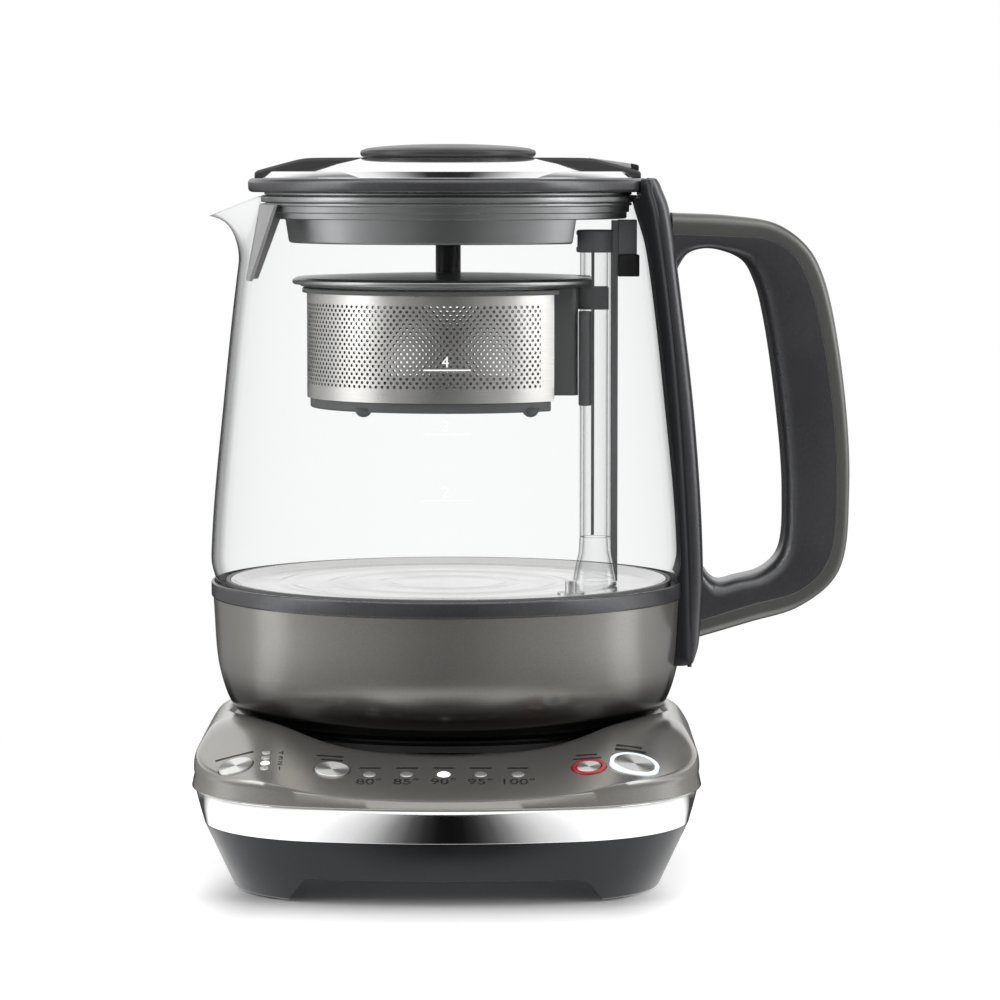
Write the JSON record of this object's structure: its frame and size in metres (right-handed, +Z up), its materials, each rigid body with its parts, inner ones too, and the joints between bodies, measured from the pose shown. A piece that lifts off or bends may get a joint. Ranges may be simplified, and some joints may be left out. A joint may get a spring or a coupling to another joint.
{
  "type": "automatic tea maker",
  "caption": "Glass tea jug with a lid-hung brewing basket, riser tube and loop handle, standing on a heated swivel base with a sloping button panel.",
  "frame": {"origin": "on the jug's swivel axis, in the plane of the feet", "axes": "+Z up along the swivel axis, -Y towards the control panel, +X towards the handle"},
  "size_m": [0.2066, 0.1785, 0.2292],
  "materials": {
    "charcoal_plastic": "satin charcoal",
    "black_plastic": "fine matt",
    "grey_plastic": "satin grey",
    "smoked_metal": "metallic lacquer",
    "chrome": "polished",
    "steel": "brushed",
    "polished_steel": "polished",
    "clear_glass": "clear",
    "clear_plastic": "clear",
    "rubber": "matt",
    "silicone": "satin",
    "aluminium": "satin",
    "brass": "bright",
    "board": "lacquered",
    "red_lens": "clear red",
    "white_lens": "clear white",
    "component": "moulded"
  },
  "bodies": {
    "power_base": {"base_housing": "charcoal_plastic", "rubber_feet": "rubber", "base_screws": "steel", "chrome_band": "chrome", "top_cover": "smoked_metal", "temperature_lamps": "white_lens", "strength_lamps": "white_lens", "keep_warm_ring": "red_lens", "start_ring": "white_lens", "control_board": "board", "panel_switches": "component", "jug_seat": "black_plastic", "connector_post": "black_plastic", "contact_rings": "brass", "power_board": "board", "supply_components": "component", "cord_gland": "rubber"},
    "strength_button": {"strength_button": "steel"},
    "temperature_button": {"temperature_button": "steel"},
    "keep_warm_button": {"keep_warm_button": "steel"},
    "start_button": {"start_button": "steel"},
    "jug_socket": {"jug_socket": "black_plastic"},
    "jug": {"jug_housing": "smoked_metal", "underside_cover": "charcoal_plastic", "collar_ring": "charcoal_plastic", "floor_seal": "silicone", "heater_plate": "polished_steel", "heat_spreader": "aluminium", "heating_element": "steel", "thermal_cutouts": "steel", "temperature_probe": "polished_steel", "glass_body": "clear_glass", "jug_screws": "steel", "handle_strap": "charcoal_plastic", "handle_body": "charcoal_plastic", "handle_trim": "smoked_metal", "spout_filter": "grey_plastic", "riser_tube": "clear_plastic", "riser_foot": "clear_plastic", "riser_cap": "grey_plastic", "riser_spine": "black_plastic", "riser_bracket": "black_plastic"},
    "lid": {"lid_rim": "charcoal_plastic", "lid_plug": "grey_plastic", "lid_seal": "silicone", "lid_cover": "chrome", "lid_bridge": "charcoal_plastic", "knob": "charcoal_plastic", "knob_screw": "steel", "lid_tab": "chrome", "lid_tab_tip": "black_plastic", "stem": "charcoal_plastic", "basket_cover": "grey_plastic"},
    "tea_basket": {"basket_rim": "grey_plastic", "basket_wall": "steel", "basket_floor": "steel", "basket_ring": "grey_plastic", "basket_column": "grey_plastic", "siphon_tube": "clear_plastic", "riser_guide": "grey_plastic"}
  },
  "joints": [
    {"name": "strength_press", "type": "slide", "parent": "power_base", "child": "strength_button", "axis": [0, 0.2756, -0.9613], "range_m": [0, 0.0008], "stiffness_N_per_m": 900, "springref_m": -0.0006},
    {"name": "temperature_press", "type": "slide", "parent": "power_base", "child": "temperature_button", "axis": [0, 0.2756, -0.9613], "range_m": [0, 0.0008], "stiffness_N_per_m": 900, "springref_m": -0.0006},
    {"name": "keep_warm_press", "type": "slide", "parent": "power_base", "child": "keep_warm_button", "axis": [0, 0.2756, -0.9613], "range_m": [0, 0.0008], "stiffness_N_per_m": 900, "springref_m": -0.0006},
    {"name": "start_press", "type": "slide", "parent": "power_base", "child": "start_button", "axis": [0, 0.2756, -0.9613], "range_m": [0, 0.0008], "stiffness_N_per_m": 900, "springref_m": -0.0006},
    {"name": "jug_lift", "type": "slide", "parent": "power_base", "child": "jug_socket", "axis": [0, 0, 1], "range_m": [0, 0.06]},
    {"name": "jug_swivel", "type": "hinge", "parent": "jug_socket", "child": "jug", "pos_m": [0, 0, 0.05], "axis": [0, 0, 1], "continuous": true},
    {"name": "lid_lift", "type": "slide", "parent": "jug", "child": "lid", "axis": [0, 0, 1], "range_m": [0, 0.085]},
    {"name": "basket_slide", "type": "slide", "parent": "lid", "child": "tea_basket", "axis": [0, 0, -1], "range_m": [0, 0.045]}
  ]
}
